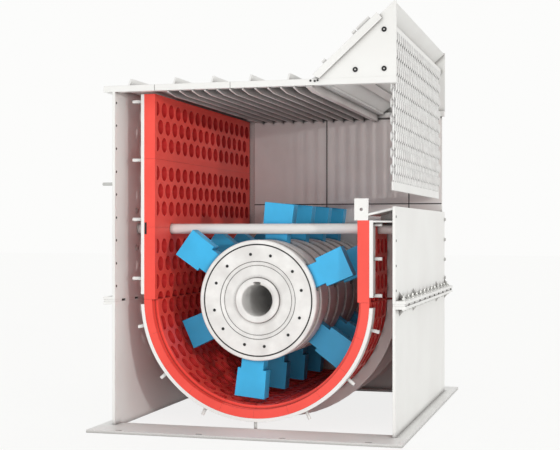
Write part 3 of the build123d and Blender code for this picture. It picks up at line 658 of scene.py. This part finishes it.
def turned(shape, centre, profile, steps, start=0.0, turn=2 * math.pi):
    """A ring turned about the rotor's axis from a closed profile of radius and depth."""
    is_whole = turn >= 2 * math.pi
    rings = []
    for index in range(steps if is_whole else steps + 1):
        a = start + turn * index / steps
        corners = [Vector((r * math.cos(a), depth, r * math.sin(a))) for r, depth in profile]
        rings.append([shape.verts.new(centre + corner) for corner in corners])
    bridge(shape, rings, is_closed=is_whole)
    if not is_whole:
        cap_ends(shape, rings)


# Radius and depth of the turned face: rim, seal groove, face, dished recess and bore
DISC_PROFILE = (
    (0.1602, 0.035),
    (0.4300, 0.035),
    (0.4300, 0.006),
    (0.4240, 0.000),
    (0.4020, 0.000),
    (0.4000, 0.005),
    (0.3940, 0.005),
    (0.3920, 0.000),
    (0.2795, 0.000),
    (0.2790, 0.007),
    (0.2750, 0.007),
    (0.2745, 0.003),
    (0.2510, 0.009),
    (0.2505, 0.014),
    (0.2465, 0.014),
    (0.2460, 0.011),
    (0.1640, 0.011),
    (0.1602, 0.015),
)
# The nose's rim, whose inner bevel leaves the keyway open at the top
NOSE_RIM_PROFILE = (
    (0.1595, 0.000),
    (0.1600, -0.007),
    (0.1550, -0.0125),
    (0.1320, -0.0125),
    (0.1320, -0.0062),
)
NOSE_BEVEL_PROFILE = ((0.1320, -0.0062), (0.1320, -0.0125), (0.1150, -0.0075), (0.1130, -0.0062))
KEYWAY_HALF_TURN = math.radians(12)
TURNED_STEPS = 144

DISC_SCREW_CIRCLE = 0.330
DISC_SCREW_SPREAD = math.radians(12.9)
DISC_SCREW_FIRST = math.radians(26)
DISC_SCREW_RADIUS = 0.0105
DISC_SCREW_HEIGHT = 0.003
DISC_SEAL_RADIUS = 0.397
DISC_SEAL_WIRE = 0.0036
DISC_SEAL_DEPTH = 0.003
DISC_SEAL_STEPS = 96


class CRUSHER_OT_rotor(bpy.types.Operator):
    """Turned front disc and nose of the rotor, with the screws and the dark seal ring"""

    bl_idname = "crusher.rotor"
    bl_label = "Rotor face"

    def execute(self, context):
        face = Vector((0, DISC_FRONT, AXIS.z))

        def screws(shape):
            for pair in range(6):
                for side in (-1, 1):
                    a = DISC_SCREW_FIRST + pair * math.pi / 3 + side * DISC_SCREW_SPREAD
                    place = face + DISC_SCREW_CIRCLE * Vector((math.cos(a), 0, math.sin(a)))
                    screw(shape, place, FRONTWARD, DISC_SCREW_RADIUS, DISC_SCREW_HEIGHT)

        disc = piece_from(
            "turned_front_disc",
            lambda shape: turned(shape, face, DISC_PROFILE, TURNED_STEPS),
            "rotor face enamel",
            "rotor",
        )
        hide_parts("front_disc")

        def nose(shape):
            turned(shape, face, NOSE_RIM_PROFILE, TURNED_STEPS)
            first = math.pi / 2 + KEYWAY_HALF_TURN
            turn = 2 * (math.pi - KEYWAY_HALF_TURN)
            turned(shape, face, NOSE_BEVEL_PROFILE, TURNED_STEPS, first, turn)

        rim = piece_from("nose_rim", nose, "rotor face enamel", "rotor")

        heads = piece_from("disc_screws", screws, "blackened steel", "rotor")

        def ring(shape):
            centre = face + DISC_SEAL_DEPTH * REARWARD
            torus(shape, centre, FRONTWARD, DISC_SEAL_RADIUS, DISC_SEAL_WIRE, DISC_SEAL_STEPS)

        seal = piece_from("disc_seal", ring, "blackened steel", "rotor", 60)
        return {"FINISHED"}


WALL_BOLT_DEPTH = 0.026
LEFT_BOLT_HEIGHTS = (1.012, 1.175, 1.341, 1.503, 1.670, 1.833, 1.998, 2.164, 2.327)
RIGHT_BOLT_HEIGHTS = (1.005, 1.172, 1.342, 1.504)
REAR_BOLT_HEIGHTS = (1.005, 1.162, 1.333, 1.507)
FLANGE_BOLT_PITCH = 0.186
FLANGE_THICKNESS = 0.020
WALL_NUTS = ((0.400, 1.559), (0.400, 1.283))
WALL_SCREW_RADIUS = 0.009
WALL_SCREW_HEIGHT = 0.002
WALL_BOLT_SIZE = 0.018
STUB_HEIGHT = 1.745
STUB_REACH = 0.084
STUB_RADIUS = 0.012
STUB_EDGE = 0.002
# A black bar on the hoop's face is painted shade, standing for the notch beside it
NOTCH_SHADE = ((-0.822, 1.385), (-0.806, 1.385), (-0.806, 1.469), (-0.822, 1.469))
NOTCH_SHADE_PROUD = 0.001
HOOP_FACE_DEPTH = 0.110


class CRUSHER_OT_bolts(bpy.types.Operator):
    """Screws and bolts of the wall edges and the split flanges, and the stub on the left"""

    bl_idname = "crusher.bolts"
    bl_label = "Housing bolts"

    def execute(self, context):
        size = context.scene.crusher_sizes.bolt_size
        left_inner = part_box("upper_wall_left")[1].x
        right_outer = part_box("upper_wall_right")[1].x
        rear_y = REAR_Y - WALL_BOLT_DEPTH
        front_y = FRONT_Y + WALL_BOLT_DEPTH

        def wall_dots(shape):
            for z in LEFT_BOLT_HEIGHTS:
                place = Vector((left_inner, front_y, z))
                screw(shape, place, RIGHT, WALL_SCREW_RADIUS, WALL_SCREW_HEIGHT)
            for z in RIGHT_BOLT_HEIGHTS:
                place = Vector((right_outer, front_y, z))
                screw(shape, place, RIGHT, WALL_SCREW_RADIUS, WALL_SCREW_HEIGHT)
            # The black bar is painted shade of the notch beside the hoop
            face_y = FRONT_Y + HOOP_FACE_DEPTH
            long_bar(shape, NOTCH_SHADE, face_y - NOTCH_SHADE_PROUD, face_y + NOTCH_SHADE_PROUD)

        dots = piece_from("wall_screws", wall_dots, "blackened steel", "housing")

        def wall_bolts(shape):
            for z in REAR_BOLT_HEIGHTS:
                washer_bolt(shape, Vector((right_outer, rear_y, z)), RIGHT, WALL_BOLT_SIZE)
                washer_bolt(shape, Vector((-right_outer, rear_y, z)), LEFT, WALL_BOLT_SIZE)
            for depth, z in WALL_NUTS:
                washer_bolt(shape, Vector((left_inner, FRONT_Y + depth, z)), RIGHT, size)
            stub = Vector((-right_outer, front_y, STUB_HEIGHT))
            prism(shape, stub, LEFT, STUB_RADIUS, STUB_REACH, 24, STUB_EDGE)

        piece_from("wall_bolts", wall_bolts, "zinc plated steel", "housing")

        # The flanges' own box takes in their gussets, so their faces are found from the packers
        flange_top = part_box("split_packers")[1].z + FLANGE_THICKNESS
        flange_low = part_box("split_packers")[0].z - FLANGE_THICKNESS
        flange_x = (right_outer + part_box("split_flanges")[1].x) / 2
        count = int((REAR_Y - FRONT_Y) / FLANGE_BOLT_PITCH)
        first = -(count - 1) * FLANGE_BOLT_PITCH / 2
        depths = [first + index * FLANGE_BOLT_PITCH for index in range(count)]
        places = [Vector((side * flange_x, y, 0)) for side in (-1, 1) for y in depths]

        def flange_bolts(shape):
            for place in places:
                washer_bolt(shape, place + flange_top * UP, UP, size)
                washer_bolt(shape, place + flange_low * UP, -UP, size)
                stud = place + (flange_top + 0.75 * size) * UP
                prism(shape, stud, UP, 0.5 * size, 0.9 * size, 14, 0.08 * size)

        bolts = piece_from("flange_bolts", flange_bolts, "zinc plated steel", "housing")
        return {"FINISHED"}


ROOF_BAR_FIRST = -0.613
ROOF_BAR_PITCH = 0.0925
ROOF_BAR_COUNT = 11
ROOF_BAR_THICKNESS = 0.013
ROOF_BAR_BOTTOM = 2.374
ROOF_BAR_START = 0.012
ROOF_BAR_TAPER_END = 0.170
ROOF_BAR_TAPER_RISE = 0.018
BEAM_LEFT = 0.405


def edge_bar(shape, x_low, x_high, bottom, top):
    """A flat bar on edge under the roof, whose lower front corner tapers up over the mouth."""
    mouth = FRONT_Y + ROOF_BAR_START
    profile = (
        (mouth, bottom + ROOF_BAR_TAPER_RISE),
        (FRONT_Y + ROOF_BAR_TAPER_END, bottom),
        (LINER_REAR, bottom),
        (LINER_REAR, top),
        (mouth, top),
    )
    rings = [[shape.verts.new((x, y, z)) for y, z in profile] for x in (x_low, x_high)]
    bridge(shape, rings)
    cap_ends(shape, rings)


class CRUSHER_OT_roof(bpy.types.Operator):
    """Flat wear bars on edge under the roof, and the beam beside the feed opening"""

    bl_idname = "crusher.roof"
    bl_label = "Roof bars"

    def execute(self, context):
        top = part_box("roof_plate")[0].z
        beam_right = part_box("roof_beam")[1].x

        def bars(shape):
            for index in range(ROOF_BAR_COUNT):
                x = ROOF_BAR_FIRST + index * ROOF_BAR_PITCH
                edge_bar(shape, x, x + ROOF_BAR_THICKNESS, ROOF_BAR_BOTTOM, top)

        wear_bars = piece_from("roof_wear_bars", bars, "wear bar enamel", "housing")
        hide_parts("roof_strips")
        beam = piece_from(
            "roof_edge_beam",
            lambda shape: edge_bar(shape, BEAM_LEFT, beam_right, ROOF_BAR_BOTTOM, top),
            "wear bar enamel",
            "housing",
        )
        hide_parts("roof_beam")
        return {"FINISHED"}


PANEL_SEAMS = (-0.018, 0.719)
PANEL_SEAM_HEIGHT = 1.646
SEAM_WIDTH = 0.008
SEAM_PROUD = 0.001
JOINT_CLEARANCE = 0.001
JOINT_SET_BACK = 0.006
SLIT_SHADE_DEPTH = 0.015
SLIT_FIRST = 0.160
SLIT_PITCH = 0.247
SLIT_LENGTH = 0.065
SLIT_COUNT = 10


class CRUSHER_OT_seams(bpy.types.Operator):
    """Black strips over the joints of the rear wear panels and black bars deep in the split line's slits, both
    painted shade, and packing in the split line
    """

    bl_idname = "crusher.seams"
    bl_label = "Panel seams"

    def execute(self, context):
        low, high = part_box("rear_panels")
        half = SEAM_WIDTH / 2

        # Black rubber strips over the panel joints: painted shade of the gaps between the panels
        def seam_shade_strips(shape):
            front = low.y - SEAM_PROUD
            for x in PANEL_SEAMS:
                long_bar(shape, rectangle(x - half, x + half, low.z, high.z), front, low.y + SEAM_PROUD)
            level = PANEL_SEAM_HEIGHT
            across = rectangle(low.x, high.x, level - half, level + half)
            long_bar(shape, across, front, low.y + SEAM_PROUD)

        seams = piece_from("panel_seam_shades", seam_shade_strips, "seal rubber", "housing")

        joint_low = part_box("split_packers")[0].z
        joint_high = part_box("split_packers")[1].z
        inner = -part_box("upper_wall_left")[1].x
        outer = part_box("split_flanges")[1].x - JOINT_SET_BACK

        def bar_of_joint(shape, side, x_low, x_high, start, end):
            xs = sorted((side * x_low, side * x_high))
            long_bar(shape, rectangle(*xs, joint_low, joint_high), start, end)

        first = FRONT_Y + SLIT_FIRST - SLIT_LENGTH / 2
        starts = [first + index * SLIT_PITCH for index in range(SLIT_COUNT)]
        ends = [start + SLIT_LENGTH for start in starts]

        # The packing stops short at each slit, so the slits are real gaps
        def packing(shape):
            front, rear = FRONT_Y + JOINT_CLEARANCE, REAR_Y - JOINT_CLEARANCE
            for start, end in zip([front] + ends, starts + [rear]):
                for side in (-1, 1):
                    bar_of_joint(shape, side, inner + JOINT_CLEARANCE, outer, start, end)

        # Black rubber bars deep in the joint behind the gaps: painted shade of the slits
        def seal(shape):
            for start, end in zip(starts, ends):
                for side in (-1, 1):
                    bar_of_joint(shape, side, inner + SLIT_SHADE_DEPTH, outer - SLIT_SHADE_DEPTH, start, end)

        piece_from("joint_packing", packing, "housing enamel", "housing")
        piece_from("joint_slit_shade", seal, "seal rubber", "housing")
        return {"FINISHED"}


FOOT_SPOTS = ((0.438, 2.435), (0.468, 2.432), (0.488, 2.436))
FOOT_SPOT_RADIUS = 0.007
FOOT_SPOT_HEIGHT = 0.004
HOOD_BOLTS = ((0.948, 2.764), (0.948, 2.500), (0.750, 2.500))
HOOD_RING_RADIUS = 0.0118
HOOD_RING_WIRE = 0.0058
HOOD_RING_PROUD = 0.001
HOOD_HEAD_RADIUS = 0.0065
HOOD_HEAD_HEIGHT = 0.005
HOOD_HEAD_EDGE = 0.0015
FOOT_GAP = 0.0003
FOOT_INSET = 0.001
FOOT_CORNER_GAP = 0.0005
FOOT_OVERLAP = (0.014, 0.012)


class CRUSHER_OT_hood(bpy.types.Operator):
    """Recessed bolts of the hood plates, drawn as heads in black rings of painted recess shade, and the strip and
    black heads at the cover's foot
    """

    bl_idname = "crusher.hood"
    bl_label = "Hood fittings"

    def execute(self, context):
        low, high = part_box("hood_end_plates")

        ends = ((low.y, FRONTWARD), (high.y, REARWARD))
        seats = [(Vector((x, y, z)), way) for x, z in HOOD_BOLTS for y, way in ends]

        # Black rings round the heads are painted shade of the recesses the bolts sit in
        def rings(shape):
            for seat, way in seats:
                centre = seat + HOOD_RING_PROUD * way
                torus(shape, centre, way, HOOD_RING_RADIUS, HOOD_RING_WIRE, 24)

        def heads(shape):
            for seat, way in seats:
                prism(shape, seat, way, HOOD_HEAD_RADIUS, HOOD_HEAD_HEIGHT, SCREW_SIDES, HOOD_HEAD_EDGE)

        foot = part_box("hood_cover")
        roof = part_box("roof_plate")
        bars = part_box("roof_end_bars")
        corner_x = low.x
        # The strip fills the joint from the roof plate's edge to the cover's foot
        section = (
            (roof[1].x + FOOT_GAP, roof[0].z + FOOT_INSET),
            (corner_x - FOOT_CORNER_GAP, roof[0].z + FOOT_INSET),
            (corner_x - FOOT_CORNER_GAP, roof[1].z - FOOT_CORNER_GAP),
            (foot[0].x + FOOT_OVERLAP[0], foot[0].z + FOOT_OVERLAP[1]),
            (roof[1].x + FOOT_GAP, roof[1].z + FOOT_INSET),
        )
        strip = piece_from(
            "hood_foot_strip",
            lambda shape: long_bar(shape, section, bars[0].y + FOOT_INSET, bars[1].y - FOOT_INSET),
            "housing enamel",
            "housing",
        )

        # Black round heads on the end bars' front face, where dark spots show beside the cover's foot
        def spots(shape):
            for x, z in FOOT_SPOTS:
                place = Vector((x, bars[0].y, z))
                screw(shape, place, FRONTWARD, FOOT_SPOT_RADIUS, FOOT_SPOT_HEIGHT)

        foot_spot_heads = piece_from("hood_foot_spots", spots, "blackened steel", "housing")

        dark = piece_from("hood_bolt_recess_shade", rings, "blackened steel", "housing", 60)
        bright = piece_from("hood_bolt_heads", heads, "zinc plated steel", "housing")
        return {"FINISHED"}


class CRUSHER_OT_paint(bpy.types.Operator):
    """Paints every solid with the finish of its material slot"""

    bl_idname = "crusher.paint"
    bl_label = "Paint the solids"

    def execute(self, context):
        slots = {entry["node"]: entry["material_slot"] for entry in frame["record"]["subparts"]}
        for name, node in frame["nodes"].items():
            node.data.materials.clear()
            node.data.materials.append(paints()[PAINT_OF_SLOT[slots[name]]])
        return {"FINISHED"}


# The photograph's camera, solved from the housing's edges
PHOTO_WIDTH = 560
PHOTO_HEIGHT = 450
FOCAL_PIXELS = 1181.68
HORIZON_ROW = 231.1
CAMERA_PLACE = (2.396, -9.075, 1.4067)
CAMERA_YAW = 15.5
SENSOR_MM = 36

# The key light comes in almost level from the right front, as the shadow inside the left wall shows
KEY_TRAVEL = (-0.77, 0.64, -0.08)
KEY_STRENGTH = 0.72
KEY_SPREAD = 2.0
AIR_AT_HORIZON = 0.55
AIR_OVERHEAD = 1.0
FILL_PLACE = (1.2, -8.0, 0.9)
FILL_WIDTH = 4.0
FILL_HEIGHT = 2.0
FILL_WATTS = 90
FLOOR_LIFT = 0.85
FLOOR_REACH = 60
FLOOR_GAP = 0.0005


class CRUSHER_OT_stage(bpy.types.Operator):
    """Camera of the photograph, pale floor and soft studio light"""

    bl_idname = "crusher.stage"
    bl_label = "Camera and studio"

    def execute(self, context):
        scene = context.scene
        data = bpy.data.cameras.new("photo_camera")
        data.sensor_width = SENSOR_MM
        data.lens = FOCAL_PIXELS / PHOTO_WIDTH * SENSOR_MM
        data.shift_y = (HORIZON_ROW - PHOTO_HEIGHT / 2) / PHOTO_WIDTH
        data.clip_end = 200
        camera = bpy.data.objects.new("photo_camera", data)
        camera.location = CAMERA_PLACE
        camera.rotation_euler = (math.radians(90), 0, math.radians(CAMERA_YAW))
        scene.collection.objects.link(camera)
        scene.camera = camera

        # Matt white laminate, pressed: even, and lifted to the backdrop's white where it is seen
        material, tree = new_tree("floor laminate")
        path = add_node(tree, "ShaderNodeLightPath").outputs
        lift = larger(tree, path["Is Camera Ray"], path["Is Glossy Ray"])
        place = add_node(tree, "ShaderNodeTexCoord").outputs["Object"]
        speckle = add_node(tree, "ShaderNodeTexNoise", {"Vector": place, "Scale": 40.0})
        surface = {
            "Base Color": linear(scene.crusher_colours.floor),
            "Roughness": ramp(tree, speckle.outputs["Fac"], 0.0, 1.0, 0.7, 0.85),
        }
        sheet = add_node(tree, "ShaderNodeBsdfPrincipled", surface).outputs["BSDF"]
        white = {"Color": linear("#FDFDFC")}
        backdrop = add_node(tree, "ShaderNodeEmission", white).outputs["Emission"]
        share = ramp(tree, lift, 0.0, 1.0, 0.0, FLOOR_LIFT)
        mixed = {0: share, 1: sheet, 2: backdrop}
        lifted = add_node(tree, "ShaderNodeMixShader", mixed).outputs["Shader"]
        add_node(tree, "ShaderNodeOutputMaterial", {"Surface": lifted})
        mesh = bpy.data.meshes.new("studio_floor")
        signs = ((-1, -1), (1, -1), (1, 1), (-1, 1))
        corners = [(x * FLOOR_REACH, y * FLOOR_REACH, 0) for x, y in signs]
        mesh.from_pydata(corners, [], [(0, 1, 2, 3)])
        floor = bpy.data.objects.new("studio_floor", mesh)
        floor.location.z = -FLOOR_GAP
        mesh.materials.append(material)
        scene.collection.objects.link(floor)

        world = bpy.data.worlds.new("studio_air")
        world.use_nodes = True
        tree = world.node_tree
        tree.nodes.clear()
        path = add_node(tree, "ShaderNodeLightPath").outputs
        lift = larger(tree, path["Is Camera Ray"], path["Is Glossy Ray"])
        way = add_node(tree, "ShaderNodeTexCoord").outputs["Generated"]
        height = add_node(tree, "ShaderNodeSeparateXYZ", {"Vector": way}).outputs["Z"]
        dome = ramp(tree, height, 0.0, 1.0, AIR_AT_HORIZON, AIR_OVERHEAD)
        strength = larger(tree, dome, lift)
        sky = add_node(tree, "ShaderNodeBackground", {"Color": linear("#FCFCFB"), "Strength": strength})
        add_node(tree, "ShaderNodeOutputWorld", {"Surface": sky.outputs["Background"]})
        scene.world = world

        key = bpy.data.lights.new("key_light", "SUN")
        key.energy = KEY_STRENGTH
        key.angle = math.radians(KEY_SPREAD)
        key.color = linear("#FFFDFA")[:3]
        light = bpy.data.objects.new("key_light", key)
        light.location = -4 * Vector(KEY_TRAVEL)
        light.rotation_euler = Vector(KEY_TRAVEL).to_track_quat("-Z", "Y").to_euler()
        scene.collection.objects.link(light)

        # A wide softbox in front opens up the shade inside the housing
        fill = bpy.data.lights.new("front_softbox", "AREA")
        fill.shape = "RECTANGLE"
        fill.size = FILL_WIDTH
        fill.size_y = FILL_HEIGHT
        fill.energy = FILL_WATTS
        softbox = bpy.data.objects.new("front_softbox", fill)
        softbox.location = FILL_PLACE
        softbox.rotation_euler = (AXIS - Vector(FILL_PLACE)).to_track_quat("-Z", "Y").to_euler()
        scene.collection.objects.link(softbox)

        scene.view_settings.view_transform = "Standard"
        return {"FINISHED"}


class CRUSHER_PT_panel(bpy.types.Panel):
    """Lists the pieces of the crusher's dressing"""

    bl_idname = "CRUSHER_PT_panel"
    bl_label = "Box crusher"
    bl_space_type = "VIEW_3D"
    bl_region_type = "UI"
    bl_category = "Crusher"

    def draw(self, context):
        for operator in OPERATORS:
            self.layout.operator(operator.bl_idname)
        for group in (context.scene.crusher_sizes, context.scene.crusher_colours):
            for name in group.bl_rna.properties.keys():
                if name not in ("rna_type", "name"):
                    self.layout.prop(group, name)


OPERATORS = (
    CRUSHER_OT_stage,
    CRUSHER_OT_paint,
    CRUSHER_OT_liners,
    CRUSHER_OT_grate,
    CRUSHER_OT_curtain,
    CRUSHER_OT_rotor,
    CRUSHER_OT_bolts,
    CRUSHER_OT_hood,
    CRUSHER_OT_roof,
    CRUSHER_OT_seams,
)
CLASSES = (CrusherSizes, CrusherColours, *OPERATORS, CRUSHER_PT_panel)


def register():
    for item in CLASSES:
        bpy.utils.register_class(item)
    bpy.types.Scene.crusher_sizes = PointerProperty(type=CrusherSizes)
    bpy.types.Scene.crusher_colours = PointerProperty(type=CrusherColours)


def unregister():
    del bpy.types.Scene.crusher_colours
    del bpy.types.Scene.crusher_sizes
    for item in reversed(CLASSES):
        bpy.utils.unregister_class(item)


def main():
    register()
    for operator in OPERATORS:
        group, name = operator.bl_idname.split(".")
        getattr(getattr(bpy.ops, group), name)()


if __name__ == "__main__":
    main()
